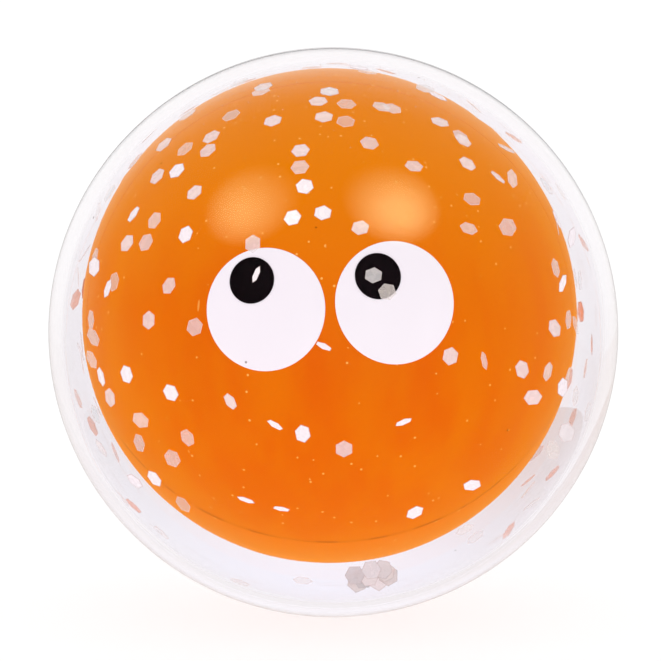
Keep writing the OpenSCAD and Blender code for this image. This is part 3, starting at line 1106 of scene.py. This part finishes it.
@dataclass
class GlitterGroup:
    """Glitter flakes that move together, each rebuilt on its solid in the frame.

    Attributes:
        node: The frame's node.
        body: What the flakes ride on.
        seed: Seed of each flake's brightness, hue and cover.
        white_points: Points of the photo with flakes that face the light, painted white for their glint.
        slivers: Points with flakes that are only narrow offcuts, and the lean of each in degrees.
        flake_r: Radius of a flake's corners.
        flake_t: Thickness of a flake.
        bevel: Width of the rim.
        dish: How far the middle is dished.
        rim_share: Share of the thickness that is left at the rim.
        white_share: Share of the other flakes that are painted white for a glint.
        least_cover: How much the thinnest of the dull flakes covers.
        cover_spread: How much more the thickest of them covers.
        white_cover: How much a flake that shines white covers.
        dull_most: Brightness of the brightest of the dull flakes, of which white is 1.
        sliver_width: Width of an offcut as a share of a whole flake's.
        near: How close a flake lies to the point that names it.
        pressed: Whether the piece gets a mesh of its own after it is built.
        pressed_gap: Distance from the cavity's wall of a surface to press the flakes to. Not used.
        pressed_share: What would be left of the heap's height. Not used.
    """

    plan: Plan
    node: str
    body: Body
    seed: int
    white_points: tuple[tuple[float, float], ...] = ()
    slivers: tuple[tuple[float, float, float], ...] = ()
    flake_r: float = 0.8 * MM / math.cos(math.pi / 6)
    flake_t: float = 0.05 * MM
    bevel: float = 0.08 * MM
    dish: float = 0.012 * MM
    rim_share: float = 0.6
    white_share: float = 0.2
    least_cover: float = 0.24
    cover_spread: float = 0.3
    white_cover: float = 0.82
    dull_most: float = 0.75
    sliver_width: float = 0.34
    near: float = math.radians(3)
    pressed: bool = False
    pressed_gap: float = 0.28 * MM
    pressed_share: float = 0.18

    def pattern(self) -> tuple[Skin, np.ndarray]:
        """Draws one flake: a six-sided disc with a thin rim and a slightly dished middle on both sides.

        Returns:
            The flake round the origin, and for each of its points whether it lies on the rim.
        """
        inner, half = self.flake_r - self.bevel, self.flake_t / 2
        profile = np.array(
            [
                [0, half - self.dish],
                [inner, half],
                [self.flake_r, self.rim_share * half],
                [self.flake_r, -self.rim_share * half],
                [inner, -half],
                [0, -half - self.dish],
            ]
        )
        skin = revolve(profile, [0] * 5, Placement(np.zeros(3), np.eye(3)), 6)
        rim = (np.linalg.norm(skin.points[:, :2], axis=1) > 0.99 * self.flake_r).astype(float)
        return skin, rim

    def places(self) -> tuple[np.ndarray, np.ndarray]:
        """Finds where the flakes lie.

        A flake's normal is the direction in which its corners spread least, turned away from the middle
        of the ball, and its first direction points at one of its corners.

        Returns:
            The middle of each flake, and its three directions.
        """
        corners = separate_solids(self.plan.nodes[self.node])
        middle = corners.mean(axis=1)
        arm = corners - middle[:, None]
        normal = np.linalg.svd(arm, full_matrices=False)[2][:, 2]
        normal *= np.sign(np.einsum("ij,ij->i", normal, middle))[:, None]
        first = arm[:, 0] - np.einsum("ij,ij->i", arm[:, 0], normal)[:, None] * normal
        first /= np.linalg.norm(first, axis=1)[:, None]
        return middle, np.stack([first, np.cross(normal, first), normal], axis=1)

    def named(self, middle: np.ndarray, point: Sequence[float]) -> np.ndarray:
        """Marks the flakes whose middle lies near what shows at a point of the photo."""
        aim = Photo().aim(self.plan, point)
        return middle @ aim > math.cos(self.near) * np.linalg.norm(middle, axis=1)

    def narrow(self, points: np.ndarray, middle: np.ndarray, normal: np.ndarray) -> np.ndarray:
        """Narrows the offcuts across their length.

        The length runs at the given lean from level, in the flake's own plane, and a point's distance d
        across it becomes sliver_width times d.

        Args:
            points: Array of flakes by points by coordinates.
            middle: The middle of each flake.
            normal: The normal of each flake.

        Returns:
            The points, with the offcuts narrowed.
        """
        for sliver in self.slivers:
            for index in np.flatnonzero(self.named(middle, sliver)):
                level = np.cross((0.0, 0.0, 1.0), normal[index])
                level /= np.linalg.norm(level)
                lean = math.radians(sliver[2])
                across = math.cos(lean) * np.cross(normal[index], level) - math.sin(lean) * level
                offset = (points[index] - middle[index]) @ across
                points[index] -= (1 - self.sliver_width) * offset[:, None] * across
        return points

    def press(self, piece: bpy.types.Object, middle: np.ndarray) -> None:
        """Works out the direction of the group's middle and gives the piece a mesh of its own."""
        aim = middle.mean(axis=0)
        aim /= np.linalg.norm(aim)
        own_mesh(piece)

    def build(self, film: bpy.types.Material) -> None:
        """Makes the group as one piece of separate flakes, most of them dull and see-through."""
        pattern, rim = self.pattern()
        middle, basis = self.places()
        points = middle[:, None] + np.einsum("pk,nkj->npj", pattern.points, basis)
        points = self.narrow(points, middle, basis[:, 2])
        chance = np.random.default_rng(self.seed).uniform(size=(len(middle), 3))
        # Flakes that shine white get a white colour with a high cover: a painted glint.
        shines = chance[:, 0] < self.white_share
        for point in self.white_points + self.slivers:
            shines |= self.named(middle, point)
        bright = np.where(shines, 1.0, self.dull_most * chance[:, 1])
        cover = np.where(shines, self.white_cover, self.least_cover + self.cover_spread * chance[:, 1])
        flake = np.repeat(np.stack([bright, cover, chance[:, 2]]), len(rim), axis=1)
        attributes = dict(zip(("bright", "cover", "hue"), flake))
        attributes["rim"] = np.tile(rim, len(middle))
        name = self.node.replace("glitter", "flakes")
        piece = build_object(name, repeated(pattern, points), [film], attributes)
        piece.visible_shadow = False
        piece.visible_diffuse = False
        settle(piece, self.body, Slot.PEARL_FLAKE, self.node)
        if self.pressed:
            self.press(piece, middle)


@dataclass
class FloatingBall:
    """Hollow orange ball in two lipped halves, with sockets for its ballast.

    Attributes:
        wall: Thickness of its wall.
        seam: Bevel of its parting line.
        lip_len: Length of the lip on the front half.
        lip_t: Thickness of the lip.
        lip_gap: Gap round the lip.
        slug_gap: Gap round the slug.
        socket_wall: Wall of the sockets.
        lit_band_lift: How far up the axis of the plane of the painted band and line looks.
        lit_band_back: How far behind the ball's centre that plane lies.
        columns: Points round the ball.
        rows: Spans from the parting line to the pole.
        socket_columns: Points round a socket.
    """

    plan: Plan
    wall: float = 1.6 * MM
    seam: float = 0.06 * MM
    lip_len: float = 1.5 * MM
    lip_t: float = 0.7 * MM
    lip_gap: float = 0.05 * MM
    slug_gap: float = 0.1 * MM
    socket_wall: float = 1.2 * MM
    lit_band_lift: float = math.radians(35)
    lit_band_back: float = 4.5 * MM
    columns: int = 224
    rows: int = 80
    socket_columns: int = 64

    def outside(self) -> Profile:
        """Starts a half's profile: over the outside and the seam's bevel to the parting face."""
        radius = self.plan.ball_r
        edge = math.acos(self.seam / radius)
        profile = Profile((0, radius)).curve(arc(radius, 0, edge, self.rows)[1:])
        return profile.line(radius - self.seam, 0)

    def front(self) -> Skin:
        """Draws the front half, whose lip reaches past the parting face."""
        inside = self.plan.ball_r - self.wall
        lip_in = inside + self.lip_gap
        profile = self.outside().line(lip_in + self.lip_t, 0).line(lip_in + self.lip_t, -self.lip_len)
        profile.line(lip_in, -self.lip_len).line(lip_in, 0).line(inside, 0)
        profile.curve(arc(inside, math.pi / 2, 0, self.rows // 2)[1:])
        return profile.turned(Placement.about(self.plan.ball_centre, (0, -1, 0)), self.columns)

    def rear(self) -> Skin:
        """Draws the rear half, with the rebate that takes the lip."""
        inside = self.plan.ball_r - self.wall
        rebate_r, depth = inside + self.lip_t + 2 * self.lip_gap, self.lip_len + self.lip_gap
        profile = self.outside().line(rebate_r, 0).line(rebate_r, depth)
        profile.curve(arc(inside, math.acos(depth / inside), 0, self.rows // 2))
        return profile.turned(Placement.about(self.plan.ball_centre, (0, 1, 0)), self.columns)

    def socket(self, side: int) -> Skin:
        """Draws a socket for one end of the slug.

        It is a tube along Y with a floor under the slug's end. Its far end follows the middle of the
        ball's wall: at a distance d from the ball's own axis, it ends at the square root of m^2 - d^2.

        Args:
            side: -1 for the front half, 1 for the rear half.

        Returns:
            The socket.
        """
        low, high = (np.array(corner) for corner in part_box("ballast_slug"))
        bore = (high[0] - low[0]) / 2 + self.slug_gap
        depth = (high[1] - low[1]) / 2 + self.slug_gap
        drop = self.plan.ball_centre[2] - (low[2] + high[2]) / 2
        outer, floor = bore + self.socket_wall, depth + self.socket_wall
        turn = ring_turns(self.socket_columns)
        level = np.ones_like(turn)
        middle = self.plan.ball_r - self.wall / 2

        def end(radius: float) -> np.ndarray:
            """Gives how far along the tube reaches at each turn, at that radius of its own."""
            return np.sqrt(middle**2 - (radius * np.cos(turn)) ** 2 - (drop - radius * np.sin(turn)) ** 2)

        radii = np.array([bore, bore, outer, outer, bore, bore])
        heights = np.stack([depth * level, 0 * level, 0 * level, end(outer), end(bore), floor * level])
        across, up = radii[:, None] * np.cos(turn), radii[:, None] * np.sin(turn) - drop
        rings = np.stack([across, side * heights, up], axis=-1)
        poles = (np.array([0, side * depth, -drop]), np.array([0, side * floor, -drop]))
        centre = self.plan.ball_centre
        return skin_of_rings(rings + centre, [0] * 7, (poles[0] + centre, poles[1] + centre))

    def build(self, effects: EffectSet) -> None:
        """Makes the two halves and dresses the slug between them."""
        # Plane of the paler band and dark line that are painted along the lower rim for the light there.
        lit_band_axis = np.array([0.0, -math.cos(self.lit_band_lift), math.sin(self.lit_band_lift)])
        plastic = MouldedPlastic(
            "Orange plastic",
            colour=(0.77, 0.117, 0.0003),
            cloud=(0.79, 0.158, 0.0003),
            # The crown colour is painted top light: the ball shows lighter there because light falls from
            # above.
            crown=(0.82, 0.21, 0.0005),
            speck=(0.95, 0.46, 0.1),
            speck_share=0.5,
            crown_specks=2.5,
            scuff_share=0.35,
            sheen=0.8,
            lit_band_axis=tuple(lit_band_axis),
            lit_band_at=float(lit_band_axis @ self.plan.ball_centre) - self.lit_band_back,
        ).material(effects)
        halves = (("front", self.front(), -1), ("rear", self.rear(), 1))
        for side, skin, way in halves:
            half = build_object(f"orange_{side}", skin.joined(self.socket(way)), [plastic])
            settle(half, Body.FLOATING_BALL, Slot.ORANGE_PLASTIC, f"{side}_ball_half")
        slug = self.plan.nodes["ballast_slug"]
        slug.data.materials.clear()
        slug.data.materials.append(TurnedSteel("Turned steel").material(effects))
        log.info("ballast_slug: kept from the frame")


@dataclass
class Print:
    """Round printed film on the floating ball, with a softly rounded edge.

    Attributes:
        node: The frame's node.
        name: Name of the piece.
        slot: Its material slot.
        thickness: Thickness of the film.
        soft_share: Width of its rounded edge, as a share of the thickness.
        drop_share: How far that edge drops, as a share of the thickness.
        columns: Points round it.
        rows: Spans from its middle to its edge.
    """

    plan: Plan
    node: str
    name: str
    slot: Slot
    thickness: float = 0.05 * MM
    soft_share: float = 0.5
    drop_share: float = 0.3
    columns: int = 128
    rows: int = 24

    def build(self, ink: bpy.types.Material) -> None:
        """Makes the film as a cap of the sphere that its solid in the frame lies on.

        The cap's axis is the mean direction of the solid's points, and its edge the widest angle to it.
        """
        arm = mesh_points(self.plan.nodes[self.node]) - self.plan.ball_centre
        reach = np.linalg.norm(arm, axis=1)
        aim = arm / reach[:, None]
        axis = aim.mean(axis=0)
        axis /= np.linalg.norm(axis)
        top, low = reach.max(), reach.max() - self.thickness
        edge = float(np.arccos(np.clip(aim @ axis, -1, 1)).max())
        soft = edge - self.soft_share * self.thickness / top
        profile = Profile((0, top)).curve(arc(top, 0, soft, self.rows)[1:])
        profile.curve(arc(top - self.drop_share * self.thickness, edge, edge, 0))
        profile.curve(arc(low, edge, 0, self.rows))
        skin = profile.turned(Placement.about(self.plan.ball_centre, axis), self.columns)
        settle(build_object(self.name, skin, [ink]), Body.FLOATING_BALL, self.slot, self.node)


def build_glitter(plan: Plan, effects: EffectSet) -> None:
    """Makes every group of flakes, with those that shine white in the photo painted white for their glint.

    Args:
        plan: Sizes and places from the frame.
        effects: The shared effects.
    """
    pearl = PearlFlake("Pearl flake").material(effects)
    # Beside and behind the floating ball the flakes get a cooler, greener copy of the film, a painted offset
    # of the orange light that the ball throws onto them.
    shaded = PearlFlake("Shaded flake", warm=(0.72, 0.76, 0.64), cool=(0.62, 0.7, 0.72)).material(effects)
    sunken = PearlFlake(
        "Sunken flake", warm=(0.64, 0.6, 0.52), cool=(0.5, 0.53, 0.57), pale_rim=(0.4, 0.37, 0.37)
    ).material(effects)
    groups = (
        ("glitter_front", Body.LIQUID, pearl),
        ("glitter_left", Body.LIQUID, shaded),
        ("glitter_right", Body.LIQUID, shaded),
        ("glitter_back", Body.LIQUID, shaded),
        ("glitter_settled", Body.LIQUID, sunken),
        ("glitter_crown", Body.CROWN_FLAKES, pearl),
        ("glitter_sides", Body.SIDE_FLAKES, shaded),
    )
    special = {
        "glitter_front": {"white_points": WHITE_POINTS, "slivers": SLIVERS, "white_share": 0.0},
        "glitter_settled": {"white_share": 0.0, "least_cover": 0.5, "pressed": True},
    }
    for seed, (node, body, film) in enumerate(groups):
        GlitterGroup(plan, node, body, seed, **special.get(node, {})).build(film)


def build_eyes(plan: Plan, effects: EffectSet) -> None:
    """Prints the white and the black of both eyes.

    Args:
        plan: Sizes and places from the frame.
        effects: The shared effects.
    """
    white = MouldedPlastic(
        "Eye white",
        colour=(0.94, 0.91, 0.93),
        cloud=(0.92, 0.89, 0.91),
        crown=(0.94, 0.91, 0.93),
        speck=(0.8, 0.74, 0.76),
        speck_share=0.03,
    ).material(effects)
    black = MouldedPlastic(
        "Eye black",
        colour=(0.003, 0.001, 0.0015),
        cloud=(0.005, 0.002, 0.003),
        crown=(0.003, 0.001, 0.0015),
        speck=(0.03, 0.02, 0.02),
        speck_share=0.03,
        gloss=0.02,
    ).material(effects)
    for side in ("left", "right"):
        Print(plan, f"{side}_eye", f"white_{side}", Slot.EYE_WHITE).build(white)
        Print(plan, f"{side}_pupil", f"black_{side}", Slot.EYE_BLACK).build(black)


# Studio


@dataclass(frozen=True)
class SoftLight:
    """Round soft light whose glow is fullest low down and fades towards its top.

    Attributes:
        name: Its name.
        aim: Direction in which it hangs, seen from the ball.
        glow: Strength at its middle.
        colour: Its colour.
        distance: From the ball's middle.
        radius: Its radius.
        rings: Rings of points on it.
        columns: Points in a ring.
    """

    name: str
    aim: tuple[float, float, float]
    glow: float
    colour: Colour = (1.0, 0.98, 0.46)
    distance: float = 1.0
    radius: float = 0.34
    rings: int = 12
    columns: int = 48

    def build(self) -> None:
        """Makes the light as a disc of rings.

        At a share s of its radius and a turn t, its strength is (1 - s^2)^1.5 (1 - 0.75 s sin t)^1.5.
        """
        middle = np.array(self.aim) / np.linalg.norm(self.aim) * self.distance
        share = np.linspace(0, 1, self.rings + 1)[1:, None]
        skin = disc(Placement.about(middle, -middle), self.radius * share[:, 0], self.columns)
        lean = 1 - 0.75 * share * np.sin(ring_turns(self.columns))
        fade = np.append(((1 - share**2) * lean) ** 1.5, 1.0)
        made, graph = start_material(self.name)
        strength = graph.maths("MULTIPLY", graph.attribute("fade"), self.glow)
        lit = graph.add("ShaderNodeEmission", {"Color": self.colour, "Strength": strength})
        graph.show(lit.outputs[0])
        card = build_object(self.name, skin, [made], {"fade": fade})
        card.visible_camera = False
        card.visible_diffuse = False
        card.visible_transmission = False


@dataclass
class Studio:
    """Pale floor, soft light and the camera.

    Attributes:
        room: Light of the room from all sides.
        floor_colour: Colour of the floor.
        floor_lift: What the floor gives off, so that it shows as white.
        floor_fill: What it gives off besides as soft light from below.
        floor_reach: Radii of its innermost ring and of its edge.
        floor_rings: Rings of points on it.
        floor_columns: Points in a ring.
        dim: How bright the camera's side of the room shows in a gloss.
        dim_through: How bright that side shows through the ball.
        warm_side: How the room's left side shows through the ball's right edge.
        cool_top: How the room's upper part shows through the ball's lower edge.
        warm_floor: How the room's lower part shows in the gloss.
    """

    plan: Plan
    photo: Photo = Photo()
    room: float = 1.1
    floor_colour: Colour = (0.3, 0.3, 0.3)
    floor_lift: float = 0.72
    floor_fill: float = 0.25
    floor_reach: tuple[float, float] = (0.02, 4.0)
    floor_rings: int = 24
    floor_columns: int = 64
    dim: float = 0.14
    dim_through: float = 0.86
    warm_side: Colour = (0.84, 0.72, 0.66)
    cool_top: Colour = (1.15, 1.19, 1.28)
    warm_floor: Colour = (0.85, 0.74, 0.7)
    lights: tuple[SoftLight, ...] = (
        SoftLight("left_light", (-0.468, -0.341, 0.815), 9.5),
        SoftLight("right_light", (0.347, -0.409, 0.844), 14.0),
    )

    def world(self) -> None:
        """Lights the room evenly, and shows it white behind the ball and dim on the camera's side."""
        world = bpy.data.worlds.new("Studio room")
        world.use_nodes = True
        bpy.context.scene.world = world
        graph = Graph(world.node_tree)
        way = graph.add("ShaderNodeSeparateXYZ", {0: graph.add("ShaderNodeTexCoord").outputs["Generated"]})
        path = graph.add("ShaderNodeLightPath")
        back = graph.span(way.outputs["Y"], 0.35, 0.9, self.dim, 1.0)
        edge = graph.span(way.outputs["Y"], 0.955, 0.995, 1.0, 0.7)
        aside = graph.span(graph.maths("ABSOLUTE", way.outputs["X"]), 0.5, 0.9, 1.0, 0.3)
        below = graph.blend(graph.span(way.outputs["Z"], -0.4, 0.05), self.warm_floor, WHITE)
        share = graph.maths("MULTIPLY", graph.maths("MULTIPLY", back, edge), aside)
        mirrored = graph.blend(share, (0.0, 0.0, 0.0), below)
        light = graph.blend(path.outputs["Is Glossy Ray"], (self.room,) * 3, mirrored)
        through = graph.span(way.outputs["Y"], -0.3, 0.2)
        side = graph.blend(graph.span(way.outputs["X"], -0.7, 0.1), self.warm_side, WHITE)
        side = graph.blend(graph.span(way.outputs["Z"], 0.05, 0.4), side, self.cool_top)
        seen = graph.blend(through, (self.dim_through,) * 3, side)
        light = graph.blend(path.outputs["Is Transmission Ray"], light, seen)
        light = graph.blend(path.outputs["Is Camera Ray"], light, WHITE)
        sky = graph.add("ShaderNodeBackground", {"Color": light, "Strength": 1.0})
        graph.add("ShaderNodeOutputWorld", {"Surface": sky.outputs[0]})

    def floor(self, effects: EffectSet) -> None:
        """Lays a round floor under the ball, in rings that widen outwards."""
        made, graph = start_material("Pale floor")
        cloud = graph.effect(effects.cloud, {"Place": graph.place(), "Scale": 6.0})
        shade = tuple(0.985 * part for part in self.floor_colour)
        path = graph.add("ShaderNodeLightPath")
        fill = graph.maths("MULTIPLY", path.outputs["Is Diffuse Ray"], self.floor_fill)
        paper = graph.principled(
            {
                "Base Color": graph.blend(cloud, self.floor_colour, shade),
                "Roughness": 1.0,
                "Specular IOR Level": 0.0,
                "Emission Color": WHITE,
                "Emission Strength": graph.maths("ADD", fill, self.floor_lift),
            }
        )
        graph.show(paper)
        under = Placement(np.array([0.0, 0.0, -self.plan.shell_r]), np.eye(3))
        reach = np.geomspace(*self.floor_reach, self.floor_rings)
        sheet = build_object("floor", disc(under, reach, self.floor_columns), [made])
        sheet.visible_glossy = False

    def camera(self) -> None:
        """Puts the camera where the ball has the photograph's size and place."""
        photo = self.photo
        focus = photo.ball_radius / math.tan(math.asin(self.plan.shell_r / photo.distance))
        lens = bpy.data.cameras.new("camera")
        lens.sensor_width = 36.0
        lens.lens = focus / photo.width * lens.sensor_width
        lens.shift_x = (photo.width / 2 - photo.ball_x) / photo.width
        lens.shift_y = (photo.ball_y - photo.width / 2) / photo.width
        lens.clip_start = 0.01
        eye = bpy.data.objects.new("camera", lens)
        eye.location = photo.distance * photo.viewer()
        eye.rotation_euler = (math.pi / 2 - photo.elevation, 0.0, 0.0)
        bpy.context.scene.collection.objects.link(eye)
        bpy.context.scene.camera = eye

    def build(self, effects: EffectSet) -> None:
        """Sets up the room, and how often light may pass through the clear layers."""
        self.world()
        self.floor(effects)
        for light in self.lights:
            light.build()
        self.camera()
        scene = bpy.context.scene
        scene.view_settings.view_transform = "Standard"
        scene.cycles.max_bounces = 24
        scene.cycles.transmission_bounces = 20
        scene.cycles.glossy_bounces = 8
        scene.cycles.transparent_max_bounces = 48
        scene.cycles.caustics_reflective = False
        scene.cycles.caustics_refractive = False


def main() -> None:
    """Loads the frame and builds every sub-assembly on it."""
    logging.basicConfig(level=logging.INFO, format="%(name)s: %(message)s")
    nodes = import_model()["nodes"]
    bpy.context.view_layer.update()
    plan = Plan.of(nodes)
    effects = EffectSet()
    ClearShell(plan).build(effects)
    Liquid(plan).build(effects)
    build_glitter(plan, effects)
    FloatingBall(plan).build(effects)
    build_eyes(plan, effects)
    Studio(plan).build(effects)


if __name__ == "__main__":
    main()
